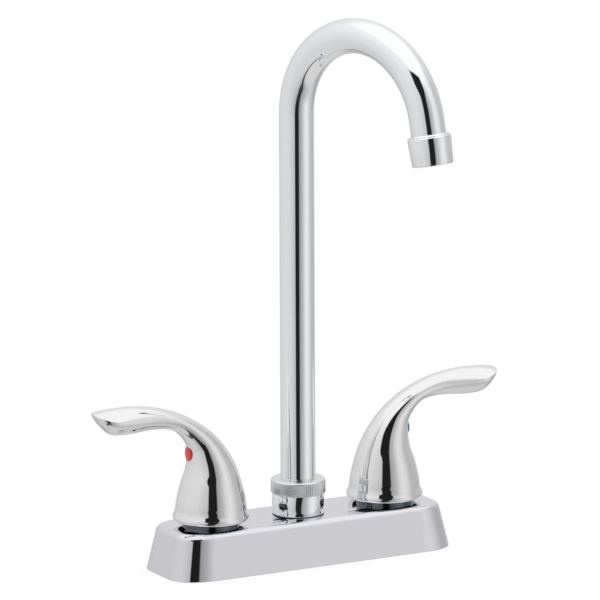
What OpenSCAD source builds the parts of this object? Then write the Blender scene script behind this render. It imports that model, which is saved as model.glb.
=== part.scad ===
// Gooseneck bar faucet with two lever handles on 4-inch centres.
// Millimetres. X runs along the base, the user stands at -Y, and Z = 0 is the deck.
// The origin is the middle of the base cover's underside, on the spout's axis.

/* [Base cover] */
// Length of the cover where it meets the deck
base_length = 162; // [156:1:170]
// Depth of the cover where it meets the deck
base_depth = 50; // [48:1:58]
// Height of the cover's flat top above the deck
base_height = 23.3; // [22.5:0.1:26]
// Where the corners begin, counted from each end along the long sides
corner_length = 27; // [15:0.5:32]
// Where the corners begin, counted from each long side along the ends
corner_depth = 17; // [14:0.5:19]
// How full the corners are: 2 is an ellipse, more is squarer
corner_fullness = 2.4; // [2:0.1:3]
// How far each end leans in over the height
end_lean = 5.2; // [3:0.1:7]
// How far each long side leans in over the height
side_lean = 4.2; // [2:0.1:5]
// Radius of the rounded edge round the top
edge_radius = 3; // [1.5:0.1:4]
// Thickness of the cover's walls and roof
cover_wall = 2.4; // [1.8:0.1:3]

/* [Spout] */
// Outside diameter of the spout tube
tube_od = 18; // [16:0.5:18]
// Wall thickness of the spout tube
tube_wall = 1; // [0.8:0.1:1.5]
// Height above the deck where the tube starts to bend
bend_start = 233; // [120:1:280]
// Radius of the bend at the tube's centre line
bend_radius = 45.2; // [35:0.1:70]
// Angle that the bend turns through
bend_angle = 169; // [150:1:180]
// How far the spout is swung to the right of straight forward
spout_swing = 18.3; // [-45:0.1:45]
// Outside diameter of the smooth hub ring
hub_od = 27; // [26:0.1:30]
// Height of the hub ring
hub_height = 11; // [8:0.5:14]
// Outside diameter of the knurled nut over its ribs
nut_od = 28.2; // [27:0.1:32]
// Height of the knurled nut
nut_height = 7.4; // [7:0.1:10]
// Number of ribs round the knurled nut
nut_ribs = 84; // [40:1:100]

/* [Outlet] */
// Outside diameter of the aerator at its top
aerator_top_od = 22.5; // [22:0.1:24]
// Outside diameter of the aerator at its mouth
aerator_mouth_od = 21.2; // [20.5:0.1:23]
// Length of the aerator housing
aerator_length = 14.7; // [14:0.1:16]
// Bare straight tube between the bend and the aerator
tail_length = 8.6; // [7:0.1:14]

/* [Handles] */
// Distance between the two valve axes, the 4-inch centre set
valve_spacing = 101.6; // [101.6:0.1:102]
// Gap between the cover's top and the rim of a handle
handle_gap = 2.5; // [1.5:0.1:4]
// Heading of the hot lever, counted from +X
hot_heading = 174.5; // [160:0.5:200]
// Heading of the cold lever, counted from +X
cold_heading = -1; // [-20:0.5:20]
// Radius of a handle's rim, at the bottom
rim_radius = 17.9; // [17.4:0.1:18.2]
// Largest radius of the rounded foot above the rim
foot_radius = 19.8; // [19.4:0.1:20]
// Diameter of the coloured index buttons
index_d = 7.8; // [6:0.1:8.5]

/* [Below the deck] */
// Outside diameter of a half-inch shank over its thread
shank_od = 20.95; // [20.8:0.05:21.1]
// How far the shanks reach below the deck
shank_length = 50; // [42:1:70]
// Depth below the deck at which the washers sit
grip_depth = 22; // [5:1:25]

/* [Hidden] */

$fn = 96;
cut = 0.5;             // how far a cutter runs past a face
press_fit = 0.02;      // radial clearance of a part that is pressed or brazed on
screw_fit = 0.05;      // radial clearance of a part that is screwed on or pushed in
fit = 0.08;            // radial clearance of a turning or soldered fit
slack = 0.3;           // radial clearance between parts that must not touch

chrome = "gainsboro";
brass = "darkkhaki";
copper = "peru";
rubber = "dimgray";
ceramic = "white";

hot_side = -1;
cold_side = 1;

// Heights inside the base
gasket_thickness = 2.5;
roof_underside = base_height - cover_wall;
port_z = 14;
port_r = 3.6;
cross_tube_r = 4.75;
socket_depth = 2;
barrel_r = 12;
neck_r = 11;
roof_hole_r = neck_r + slack;

// Valve stack, from the seat up
seat_z = 7;
seal_height = 2.5;
disc_height = 3;
inlet_r = 6;
valve_bore_r = 9;
neck_top = base_height + 1.7;
fixed_disc_z = seat_z + seal_height;
moving_disc_z = fixed_disc_z + disc_height;
stem_z = moving_disc_z + disc_height - 0.5;
stem_flange_height = 2;
sleeve_r = valve_bore_r - screw_fit;
sleeve_bore_r = 7.9;
sleeve_shoulder = stem_z + stem_flange_height + 0.2;
cartridge_top = neck_top + 2;
stem_r = 4;
broach_r = 3.75;
broach_z = 52;
stem_top = 64.5;
ring_section = 0.9;
stem_ring_heights = [20.2, 23.4];
cartridge_ring_z = 22;

// Shanks and their nuts. Threads are plain cylinders: at the outside diameter where they
// are free, and at the pitch diameter where a nut is run on.
shank_r = shank_od / 2;
shank_pitch_r = shank_r - 0.6;
shank_chamfer = 1;
washer_thickness = 3;
lock_nut_height = 8;
lock_nut_top = -grip_depth - washer_thickness;
lock_nut_foot = lock_nut_top - lock_nut_height;

// Handle
rim_z = base_height + handle_gap;
index_z = rim_z + 35.6;
index_seat = 10.9;
index_proud = 13.1;
screw_r = 2;

// Spout
spout_heading = spout_swing - 90;
tube_r = tube_od / 2;
tube_bore_r = tube_r - tube_wall;
bend_thinning = 0.03;  // bending stretches the wall: how much it loses on each face
hub_top = base_height + hub_height;
nut_top = hub_top + nut_height;
nut_lip = 1.5;
post_top = hub_top + 2.2;
post_bore_r = 8.2;
post_floor = 9.5;
spigot_r = post_bore_r - fit;
spigot_bore_r = 5;
spigot_foot = 18.5;
flange_r = neck_r - 0.5;
flange_height = 2;
tube_foot = post_top + flange_height;
spout_ring_heights = [22, 30];
spout_ring_section = 1.8;

// Outlet, measured along the tail from the end of the bend
adapter_top = tail_length - 1;
adapter_end = tail_length + 9.4;
tube_end = tail_length + 4.4;
thread_r = tube_r + 1.2;
washer_end = adapter_end + 1.5;
insert_ledge = washer_end + 1.5;
aerator_end = tail_length + aerator_length;
mouth_r = aerator_mouth_od / 2 - 1.45;

// ---------------------------------------------------------------- shared shapes

// Points round a rectangle whose corners ease into the long sides, at height z. Each
// corner is a quarter of a superellipse that is across long and down deep.
corner_steps = 12;
function ease(value) = sign(value) * pow(abs(value), 2 / corner_fullness);
function eased_ring(length, depth, across, down, z) = [
    for (corner = [0 : 3], step = [0 : corner_steps])
        let (
            turn = 90 * (corner + step / corner_steps),
            x = (length / 2 - across) * (corner == 0 || corner == 3 ? 1 : -1),
            y = (depth / 2 - down) * (corner < 2 ? 1 : -1)
        )
        [x + across * ease(cos(turn)), y + down * ease(sin(turn)), z]
];

// Closed skin over a stack of rings that run counter-clockwise seen from the last ring
module loft(rings) {
    count = len(rings[0]);
    last = len(rings) - 1;
    points = [for (ring = rings) each ring];
    walls = [
        for (r = [0 : last - 1], i = [0 : count - 1])
            let (a = r * count + i, b = r * count + (i + 1) % count)
            each [[a, a + count, b], [b, a + count, b + count]]
    ];
    first_cap = [for (i = [0 : count - 1]) i];
    last_cap = [for (i = [count - 1 : -1 : 0]) last * count + i];
    polyhedron(points, concat([first_cap], walls, [last_cap]));
}

// Catmull-Rom curve through rows of numbers, with the given steps in each span
function between(a, b, c, d, t) =
    b + 0.5 * t * (c - a + t * (2 * a - 5 * b + 4 * c - d + t * (3 * (b - c) + d - a)));
function smooth_rows(rows, steps) = [
    for (i = [0 : len(rows) - 2], s = [0 : steps - 1])
        between(rows[max(i - 1, 0)], rows[i], rows[i + 1], rows[min(i + 2, len(rows) - 1)],
                s / steps),
    rows[len(rows) - 1]
];

// Upright tube or ring
module sleeve(outer_r, inner_r, low, high) {
    translate([0, 0, low]) difference() {
        cylinder(r = outer_r, h = high - low);
        translate([0, 0, -cut]) cylinder(r = inner_r, h = high - low + 2 * cut);
    }
}

// Upright drill for cutting a bore
module bore(radius, low, high) {
    translate([0, 0, low]) cylinder(r = radius, h = high - low);
}

// O-ring lying flat, with its outer edge at the given radius
module o_ring(outer_r, section, z) {
    translate([0, 0, z]) rotate_extrude()
        translate([outer_r - section / 2, 0]) circle(d = section, $fn = 24);
}

// Square groove for an O-ring
module ring_groove(outer_r, section, z) {
    sleeve(outer_r + cut, outer_r - section, z - section / 2, z + section / 2);
}

// Stands on a valve's axis with +X pointing away from the spout
module at_valve(side) {
    translate([side * valve_spacing / 2, 0, 0]) rotate([0, 0, side == hot_side ? 180 : 0])
        children();
}

// Stands on a valve's axis with +X along the lever
module along_lever(side) {
    translate([side * valve_spacing / 2, 0, 0])
        rotate([0, 0, side == hot_side ? hot_heading : cold_heading]) children();
}

// Stands at the end of the bend with +Z running down the tail
module along_tail() {
    rotate([0, 0, spout_heading]) translate([bend_radius, 0, bend_start])
        rotate([0, bend_angle, 0]) translate([-bend_radius, 0, 0]) children();
}

// ---------------------------------------------------------------- base and waterway

// Rings of the cover's outside, or of its hollow when shrunk by the wall
edge_steps = 5;
function cover_ring(height, inset, shrink) =
    let (share = height / base_height)
    eased_ring(base_length - 2 * (end_lean * share + inset + shrink),
               base_depth - 2 * (side_lean * share + inset + shrink),
               corner_length - inset - shrink, corner_depth - inset - shrink, height);
function cover_rings(foot, top, radius, shrink) = concat(
    [cover_ring(foot, 0, shrink)],
    [for (i = [0 : edge_steps])
        let (turn = 90 * i / edge_steps)
        cover_ring(top - radius + radius * sin(turn), radius * (1 - cos(turn)), shrink)]
);

module base_cover() {
    color(chrome) difference() {
        loft(cover_rings(0, base_height, edge_radius, 0));
        loft(cover_rings(-cut, roof_underside, edge_radius / 2, cover_wall));
        bore(roof_hole_r, roof_underside - cut, base_height + cut);
        for (side = [hot_side, cold_side]) {
            at_valve(side) bore(roof_hole_r, roof_underside - cut, base_height + cut);
        }
    }
}

// Rubber plate inside the cover's rim, holed for the shanks
module deck_gasket() {
    rim_gap = 1.4;
    plate_length = base_length - 2 * (cover_wall + rim_gap);
    plate_depth = base_depth - 2 * (cover_wall + rim_gap);
    plate_corner = corner_depth;
    color(rubber) difference() {
        union() {
            translate([-plate_length / 2 + plate_corner, -plate_depth / 2, 0])
                cube([plate_length - 2 * plate_corner, plate_depth, gasket_thickness]);
            translate([-plate_length / 2, -plate_depth / 2 + plate_corner, 0])
                cube([plate_length, plate_depth - 2 * plate_corner, gasket_thickness]);
            for (x = [-1, 1], y = [-1, 1]) {
                translate([x * (plate_length / 2 - plate_corner),
                           y * (plate_depth / 2 - plate_corner), 0])
                    cylinder(r = plate_corner, h = gasket_thickness);
            }
        }
        for (side = [hot_side, cold_side]) {
            at_valve(side) bore(shank_r + slack, -cut, gasket_thickness + cut);
        }
    }
}

// Brass barrel with its shank, seat, side port and the neck that takes the bonnet
module valve_body() {
    color(brass) difference() {
        union() {
            translate([0, 0, -shank_length])
                cylinder(r1 = shank_r - shank_chamfer, r2 = shank_r, h = shank_chamfer);
            bore(shank_r, shank_chamfer - shank_length, lock_nut_foot);
            bore(shank_pitch_r, lock_nut_foot, lock_nut_top);
            bore(shank_r, lock_nut_top, gasket_thickness);
            bore(barrel_r, gasket_thickness, roof_underside);
            bore(neck_r, roof_underside, neck_top);
        }
        bore(inlet_r, -shank_length - cut, seat_z + cut);
        bore(valve_bore_r, seat_z, neck_top + cut);
        translate([-barrel_r - cut, 0, port_z]) rotate([0, 90, 0]) {
            cylinder(r = port_r, h = barrel_r);
            cylinder(r = cross_tube_r + fit, h = socket_depth + cut);
        }
    }
}

// Copper tube from a valve body to the spout post, soldered into a socket at each end
module cross_tube() {
    length = valve_spacing / 2 - 2 * barrel_r + 2 * socket_depth;
    translate([-valve_spacing / 2 + barrel_r - socket_depth, 0, port_z]) rotate([0, 90, 0])
        color(copper) sleeve(cross_tube_r, port_r, 0, length);
}

// Brass centre body that the spout turns in
module spout_post() {
    color(brass) difference() {
        union() {
            bore(barrel_r, gasket_thickness, roof_underside);
            bore(neck_r, roof_underside, post_top);
        }
        bore(post_bore_r, post_floor, post_top + cut);
        for (side = [-1, 1]) {
            translate([side * (barrel_r + cut), 0, port_z]) rotate([0, -90 * side, 0]) {
                cylinder(r = port_r, h = barrel_r);
                cylinder(r = cross_tube_r + fit, h = socket_depth + cut);
            }
        }
    }
}

// ---------------------------------------------------------------- valve internals

// Sleeve of the quarter-turn cartridge, with outlet windows and a flange on the neck
module cartridge() {
    window_width = 8;
    window_low = 13.2;
    window_high = sleeve_shoulder - 0.4;
    color(brass) difference() {
        union() {
            bore(sleeve_r, fixed_disc_z, neck_top);
            bore(neck_r - 0.6, neck_top, cartridge_top);
        }
        bore(sleeve_bore_r, fixed_disc_z - cut, sleeve_shoulder);
        bore(stem_r + fit, sleeve_shoulder - cut, cartridge_top + cut);
        ring_groove(sleeve_r, ring_section, cartridge_ring_z);
        translate([-barrel_r, -window_width / 2, window_low])
            cube([2 * barrel_r, window_width, window_high - window_low]);
    }
}

module cartridge_ring() {
    color(rubber) o_ring(sleeve_r, ring_section, cartridge_ring_z);
}

module seat_seal() {
    color(rubber) sleeve(valve_bore_r - slack, inlet_r, seat_z, fixed_disc_z);
}

// Ceramic disc with two opposite quarter openings
module ceramic_disc(radius, low, high) {
    opening_r = 5.8;
    hub_r = 1.4;
    color(ceramic) difference() {
        bore(radius, low, high);
        for (turn = [0, 180]) {
            rotate([0, 0, turn - 42]) translate([0, 0, low - cut])
                rotate_extrude(angle = 84)
                    translate([hub_r, 0]) square([opening_r - hub_r, high - low + 2 * cut]);
        }
    }
}

module fixed_disc() {
    ceramic_disc(sleeve_bore_r - slack, fixed_disc_z, moving_disc_z);
}

module moving_disc() {
    rotate([0, 0, 90]) ceramic_disc(sleeve_bore_r - 0.5, moving_disc_z, stem_z);
}

// Brass stem: driving flange, polished shaft and the broach that the handle sits on
module stem() {
    color(brass) difference() {
        union() {
            bore(sleeve_bore_r - 0.5, stem_z, stem_z + stem_flange_height);
            bore(stem_r, stem_z, broach_z);
            bore(broach_r, broach_z, stem_top);
        }
        for (z = stem_ring_heights) {
            ring_groove(stem_r, ring_section, z);
        }
    }
}

module stem_rings() {
    color(rubber) for (z = stem_ring_heights) {
        o_ring(stem_r, ring_section, z);
    }
}

// Domed nut that clamps the cartridge and the cover to the valve body
module bonnet() {
    skirt_r = 14.5;
    crown_r = 8.5;
    skirt_height = 0.3;
    height = 7;
    color(chrome) difference() {
        translate([0, 0, base_height]) rotate_extrude() polygon(concat(
            [[0, 0], [skirt_r, 0]],
            [for (turn = [0 : 10 : 90])
                [crown_r + (skirt_r - crown_r) * cos(turn),
                 skirt_height + (height - skirt_height) * sin(turn)]],
            [[0, height]]
        ));
        bore(neck_r + screw_fit, base_height - cut, cartridge_top);
        bore(stem_r + slack, cartridge_top - cut, base_height + height + cut);
    }
}

// ---------------------------------------------------------------- handles

// Lever stations from the skirt to the tip. Each row: reach and height of the outer
// line, reach and height of the inner line, half width, the share of the depth that
// lies outside the widest line, and how crisp the edge along that line is, from 0,
// round, to 1, sharp. Heights are above the rim.
lever_stations = [
    [-18.5,  3.0, 18.5,  3.0, 18.5, 0.50, 0],
    [-17.9, 11.0, 17.8, 11.0, 17.8, 0.50, 0],
    [-15.7, 20.0, 15.7, 19.5, 15.7, 0.50, 0],
    [-12.8, 28.5, 13.5, 26.0, 13.2, 0.50, 0],
    [ -7.9, 37.3, 12.6, 32.5, 10.7, 0.50, 0],
    [  0.5, 46.9, 13.2, 40.2,  8.3, 0.50, 0],
    [ 13.6, 55.6, 20.6, 48.6,  7.0, 0.46, 0],
    [ 28.4, 61.1, 32.6, 50.3,  7.0, 0.42, 0],
    [ 43.3, 63.3, 45.0, 49.3,  8.2, 0.42, 0.5],
    [ 55.6, 63.1, 55.2, 49.9,  9.2, 0.37, 1],
    [ 61.4, 62.4, 61.0, 54.7,  7.7, 0.33, 1],
    [ 64.2, 61.7, 63.7, 58.6,  4.2, 0.30, 1],
    [ 64.9, 61.2, 64.8, 60.6,  1.0, 0.30, 1]
];
lever_steps = 4;
lever_sides = 32;

// Section across the lever: two half ellipses that share their widest line. The outer
// one is hollowed towards that line as the edge gets crisper.
function lever_ring(row) =
    let (
        outer = [row[0], row[1]],
        depth = [row[2], row[3]] - outer,
        width = row[4],
        share = row[5],
        crisp = row[6]
    )
    [for (i = [0 : lever_sides - 1])
        let (
            turn = 360 * i / lever_sides,
            rise = sin(turn),
            crown = rise + crisp * (rise * rise - rise),
            p = outer + depth * (rise > 0 ? share * (1 - crown) : share - (1 - share) * rise)
        )
        [p[0], width * cos(turn), rim_z + p[1]]];

// Turned foot of the skirt: flat rim, rounded bulge and the flare above it
module handle_foot() {
    bulge_width = foot_radius - rim_radius;
    bulge_height = 2.15;
    bulge_end = 25;
    neck = 18.3;
    neck_z = 7;
    flare_bend = 1.7;
    function bulge(turn) =
        [rim_radius + bulge_width * cos(turn), bulge_height * (1 + sin(turn))];
    rotate_extrude() polygon(concat(
        [[0, 0]],
        [for (turn = [-90 : 10 : bulge_end]) bulge(turn)],
        [for (t = [0 : 0.2 : 1])
            [neck + (bulge(bulge_end)[0] - neck) * pow(1 - t, flare_bend),
             bulge(bulge_end)[1] * (1 - t) + neck_z * t]],
        [[0, neck_z]]
    ));
}

// Hollow under the skirt, around the bonnet and the stem: radius and height of each
// step of the casting's core, above the rim
module handle_hollow() {
    rim_land = 1;
    core_top = 27;
    rotate_extrude() polygon([
        [0, -cut], [rim_radius - rim_land, -cut], [16.5, 8], [15, 17], [12.6, 24],
        [9.5, core_top], [0, core_top]
    ]);
}

module handle() {
    color(chrome) difference() {
        union() {
            translate([0, 0, rim_z]) handle_foot();
            loft([for (row = smooth_rows(lever_stations, lever_steps)) lever_ring(row)]);
        }
        translate([0, 0, rim_z]) handle_hollow();
        bore(broach_r + fit, rim_z + 26, stem_top);
        translate([0, 0, index_z]) rotate([0, 90, 0]) {
            cylinder(r = screw_r + fit, h = index_seat + cut);
            translate([0, 0, index_seat]) cylinder(d = index_d + 2 * fit, h = 10);
        }
    }
}

// Grub screw between the stem and the index button, with its hexagon socket
module set_screw() {
    socket_r = 1.15;
    color("slategray") translate([0, 0, index_z]) rotate([0, 90, 0]) difference() {
        translate([0, 0, broach_r]) cylinder(r = screw_r, h = 6);
        translate([0, 0, broach_r + 3.5]) cylinder(r = socket_r, h = 3, $fn = 6);
    }
}

// Pressed plastic button with a low dome
module index_button() {
    dome = 0.5;
    translate([0, 0, index_z]) rotate([0, 90, 0]) translate([0, 0, index_seat])
        rotate_extrude() polygon(concat(
            [[0, 0], [index_d / 2, 0]],
            [for (turn = [0 : 15 : 90])
                [index_d / 2 * cos(turn), index_proud - index_seat - dome + dome * sin(turn)]]
        ));
}

// ---------------------------------------------------------------- under the deck

module washer() {
    washer_r = 18;
    color(rubber) sleeve(washer_r, shank_r + slack, lock_nut_top, -grip_depth);
}

// Hexagon lock nut with its corners turned down on both faces
module mounting_nut() {
    corner_r = 17.5;
    flat_r = corner_r * cos(30);
    bevel = 1.2;
    color(brass) difference() {
        intersection() {
            translate([0, 0, lock_nut_foot])
                cylinder(r = corner_r, h = lock_nut_height, $fn = 6);
            translate([0, 0, lock_nut_foot]) rotate_extrude() polygon([
                [0, 0], [flat_r, 0], [corner_r + 0.1, bevel],
                [corner_r + 0.1, lock_nut_height - bevel], [flat_r, lock_nut_height],
                [0, lock_nut_height]
            ]);
        }
        bore(shank_pitch_r + screw_fit, lock_nut_foot - cut, lock_nut_top + cut);
    }
}

// ---------------------------------------------------------------- spout

// Smooth ring that clamps the cover, stepped in at its foot
module spout_hub() {
    outer = hub_od / 2;
    edge = 0.4;
    step_depth = 0.9;
    step_height = 0.5;
    color(chrome) difference() {
        translate([0, 0, base_height]) rotate_extrude() polygon([
            [0, 0], [outer - step_depth, 0], [outer - step_depth, step_height],
            [outer - edge, step_height], [outer, step_height + edge],
            [outer, hub_height - edge], [outer - edge, hub_height], [0, hub_height]
        ]);
        bore(neck_r + screw_fit, base_height - cut, hub_top + cut);
    }
}

// Knurled nut: straight ribs, rounded shoulder and a lip that holds the swivel ring down
module spout_nut() {
    rib_depth = 0.25;
    shoulder = 1.4;
    outer = nut_od / 2;
    rib_top = nut_height - shoulder;
    color(chrome) difference() {
        union() {
            translate([0, 0, hub_top]) linear_extrude(rib_top) polygon([
                for (i = [0 : 2 * nut_ribs - 1])
                    let (turn = 180 * i / nut_ribs, r = outer - rib_depth * (i % 2))
                    [r * cos(turn), r * sin(turn)]
            ]);
            translate([0, 0, hub_top]) rotate_extrude() polygon(concat(
                [[0, 0], [outer - rib_depth, 0]],
                [for (turn = [0 : 15 : 90])
                    [outer - rib_depth - shoulder * (1 - cos(turn)),
                     rib_top + shoulder * sin(turn)]],
                [[0, nut_height]]
            ));
        }
        bore(neck_r + screw_fit, hub_top - cut, nut_top - nut_lip);
        bore(tube_r + slack, nut_top - nut_lip - cut, nut_top + cut);
    }
}

// Split acetal ring between the spigot's flange and the nut's lip
module swivel_ring() {
    split = 2;
    color("ivory") difference() {
        sleeve(neck_r - slack, tube_r + slack, tube_foot, nut_top - nut_lip);
        translate([0, -split / 2, tube_foot - cut]) cube([2 * neck_r, split, nut_height]);
    }
}

// Machined foot of the spout: turns in the post and is brazed into the tube
module spout_spigot() {
    plug_height = 8;
    color(brass) difference() {
        union() {
            bore(spigot_r, spigot_foot, post_top);
            bore(flange_r, post_top, tube_foot);
            bore(tube_bore_r, tube_foot, tube_foot + plug_height);
        }
        bore(spigot_bore_r, spigot_foot - cut, tube_foot + plug_height + cut);
        for (z = spout_ring_heights) {
            ring_groove(spigot_r, spout_ring_section, z);
        }
    }
}

module spout_rings() {
    color(rubber) for (z = spout_ring_heights) {
        o_ring(spigot_r, spout_ring_section, z);
    }
}

// One bent tube: upright stem, bend and short straight tail
module gooseneck_tube() {
    color(chrome) {
        sleeve(tube_r, tube_bore_r, tube_foot, bend_start + cut);
        rotate([0, 0, spout_heading]) translate([bend_radius, 0, bend_start])
            rotate([90, 0, 180]) rotate_extrude(angle = bend_angle)
                translate([bend_radius, 0]) difference() {
                    circle(r = tube_r - bend_thinning);
                    circle(r = tube_bore_r + bend_thinning);
                }
        along_tail() sleeve(tube_r, tube_bore_r, -cut, tube_end);
    }
}

// ---------------------------------------------------------------- outlet

// Threaded ring brazed on the tube's end
module outlet_adapter() {
    chamfer = 0.8;
    color(chrome) along_tail() difference() {
        translate([0, 0, adapter_top]) rotate_extrude() polygon([
            [0, 0], [thread_r - chamfer, 0], [thread_r, chamfer],
            [thread_r, adapter_end - adapter_top], [0, adapter_end - adapter_top]
        ]);
        bore(tube_r + press_fit, adapter_top - cut, tube_end);
        bore(tube_bore_r, tube_end - cut, adapter_end + cut);
    }
}

module aerator_washer() {
    color(rubber) along_tail()
        sleeve(thread_r - 2 * screw_fit, tube_bore_r - 0.5, adapter_end, washer_end);
}

// Plastic flow straightener: a flanged cup with rings of holes
module aerator_insert() {
    recess = 0.6;
    hole_r = 0.9;
    hole_pitch = 2.15;
    color("whitesmoke") along_tail() difference() {
        union() {
            bore(thread_r - 2 * screw_fit, washer_end, insert_ledge);
            bore(mouth_r - screw_fit, insert_ledge, aerator_end - recess);
        }
        for (ring = [0 : 3], i = [0 : max(6 * ring, 1) - 1]) {
            rotate([0, 0, 60 * i / max(ring, 1)]) translate([hole_pitch * ring, 0, 0])
                bore(hole_r, washer_end - cut, aerator_end);
        }
    }
}

module aerator_housing() {
    top_r = aerator_top_od / 2;
    end_r = aerator_mouth_od / 2;
    shoulder = 1;
    edge = 0.5;
    color(chrome) along_tail() difference() {
        translate([0, 0, tail_length]) rotate_extrude() polygon(concat(
            [[0, 0]],
            [for (turn = [0 : 15 : 90])
                [top_r - shoulder * (1 - sin(turn)), shoulder * (1 - cos(turn))]],
            [[end_r, aerator_length - edge], [end_r - edge, aerator_length],
             [0, aerator_length]]
        ));
        bore(thread_r + screw_fit, tail_length - cut, insert_ledge);
        bore(mouth_r, insert_ledge - cut, aerator_end + cut);
    }
}

// ---------------------------------------------------------------- nodes

module hot_valve_body() { at_valve(hot_side) valve_body(); }
module cold_valve_body() { at_valve(cold_side) valve_body(); }
module hot_cross_tube() { at_valve(hot_side) cross_tube(); }
module cold_cross_tube() { at_valve(cold_side) cross_tube(); }
module hot_cartridge() { at_valve(hot_side) cartridge(); }
module cold_cartridge() { at_valve(cold_side) cartridge(); }
module hot_cartridge_ring() { at_valve(hot_side) cartridge_ring(); }
module cold_cartridge_ring() { at_valve(cold_side) cartridge_ring(); }
module hot_seat_seal() { at_valve(hot_side) seat_seal(); }
module cold_seat_seal() { at_valve(cold_side) seat_seal(); }
module hot_fixed_disc() { at_valve(hot_side) fixed_disc(); }
module cold_fixed_disc() { at_valve(cold_side) fixed_disc(); }
module hot_moving_disc() { at_valve(hot_side) moving_disc(); }
module cold_moving_disc() { at_valve(cold_side) moving_disc(); }
module hot_stem() { at_valve(hot_side) stem(); }
module cold_stem() { at_valve(cold_side) stem(); }
module hot_stem_rings() { at_valve(hot_side) stem_rings(); }
module cold_stem_rings() { at_valve(cold_side) stem_rings(); }
module hot_bonnet() { at_valve(hot_side) bonnet(); }
module cold_bonnet() { at_valve(cold_side) bonnet(); }
module hot_handle() { along_lever(hot_side) handle(); }
module cold_handle() { along_lever(cold_side) handle(); }
module hot_set_screw() { along_lever(hot_side) set_screw(); }
module cold_set_screw() { along_lever(cold_side) set_screw(); }
module hot_index() { color("red") along_lever(hot_side) index_button(); }
module cold_index() { color("royalblue") along_lever(cold_side) index_button(); }
module hot_washer() { at_valve(hot_side) washer(); }
module cold_washer() { at_valve(cold_side) washer(); }
module hot_mounting_nut() { at_valve(hot_side) mounting_nut(); }
module cold_mounting_nut() { at_valve(cold_side) mounting_nut(); }

base_cover();
deck_gasket();
hot_valve_body();
cold_valve_body();
hot_cross_tube();
cold_cross_tube();
spout_post();
hot_cartridge();
cold_cartridge();
hot_cartridge_ring();
cold_cartridge_ring();
hot_seat_seal();
cold_seat_seal();
hot_fixed_disc();
cold_fixed_disc();
hot_moving_disc();
cold_moving_disc();
hot_stem();
cold_stem();
hot_stem_rings();
cold_stem_rings();
hot_bonnet();
cold_bonnet();
hot_handle();
cold_handle();
hot_set_screw();
cold_set_screw();
hot_index();
cold_index();
hot_washer();
cold_washer();
hot_mounting_nut();
cold_mounting_nut();
spout_hub();
spout_nut();
swivel_ring();
spout_spigot();
spout_rings();
gooseneck_tube();
outlet_adapter();
aerator_washer();
aerator_insert();
aerator_housing();
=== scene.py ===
"""Visual model of a gooseneck bar faucet with two lever handles, in metres.

The sections follow the faucet as it is put together: valves, waterway, cover, bonnets,
spout, outlet, handles, the nuts under the deck, and last the deck and the studio.
Sizes are written in millimetres, and those of the camera and the deck in metres.
"""
from math import atan2, copysign, cos, pi, radians, sin, tau

import bmesh
import bpy
from mathutils import Matrix, Vector


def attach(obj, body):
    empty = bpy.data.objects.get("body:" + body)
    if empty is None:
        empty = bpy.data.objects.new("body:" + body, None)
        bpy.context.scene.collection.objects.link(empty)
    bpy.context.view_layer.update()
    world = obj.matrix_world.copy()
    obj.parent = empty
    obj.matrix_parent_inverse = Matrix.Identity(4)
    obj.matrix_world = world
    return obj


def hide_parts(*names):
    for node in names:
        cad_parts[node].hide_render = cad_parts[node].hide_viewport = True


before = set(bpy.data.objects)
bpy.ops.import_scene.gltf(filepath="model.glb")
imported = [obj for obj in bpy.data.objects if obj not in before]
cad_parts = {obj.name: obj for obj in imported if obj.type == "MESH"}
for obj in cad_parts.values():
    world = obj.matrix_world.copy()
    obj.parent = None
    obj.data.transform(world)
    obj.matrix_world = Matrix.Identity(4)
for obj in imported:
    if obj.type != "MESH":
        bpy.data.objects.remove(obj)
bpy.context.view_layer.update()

# ------------------------------------------------------------------ valve bodies
# Two brass castings, turned on a lathe, each with a half-inch threaded shank that hangs
# through the deck. They are the first pieces on the bench: all else is built on them.

MM = 0.001
VALVE_X = {"hot": -50.8, "cold": 50.8}


def linear(hex_colour):
    """The linear colour that a shader takes, from sRGB hex."""
    channels = [int(hex_colour[i:i + 2], 16) / 255 for i in (1, 3, 5)]
    return (*(c / 12.92 if c <= 0.04045 else ((c + 0.055) / 1.055) ** 2.4 for c in channels), 1)


def add_node(tree, kind, settings=None, inputs=None):
    """Adds a shader node, sets it and feeds its inputs with numbers or other sockets."""
    node = tree.nodes.new(kind)
    for name, value in (settings or {}).items():
        setattr(node, name, value)
    for name, value in (inputs or {}).items():
        if isinstance(value, bpy.types.NodeSocket):
            tree.links.new(value, node.inputs[name])
        else:
            node.inputs[name].default_value = value
    return node


def start_material(name):
    """A new material with an empty tree, and its place on the object in metres."""
    material = bpy.data.materials.new(name)
    material.use_nodes = True
    tree = material.node_tree
    tree.nodes.clear()
    place = add_node(tree, "ShaderNodeTexCoord").outputs["Object"]
    return material, tree, place


def close_material(tree, **inputs):
    """Ends a material with the standard surface shader."""
    named = {name.replace("_", " "): value for name, value in inputs.items()}
    surface = add_node(tree, "ShaderNodeBsdfPrincipled", {}, named)
    add_node(tree, "ShaderNodeOutputMaterial", {}, {"Surface": surface.outputs["BSDF"]})


def dress(node_names, material):
    """Gives CAD nodes that stay as they are a finished material."""
    for name in node_names:
        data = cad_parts[name].data
        data.materials.clear()
        data.materials.append(material)


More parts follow.
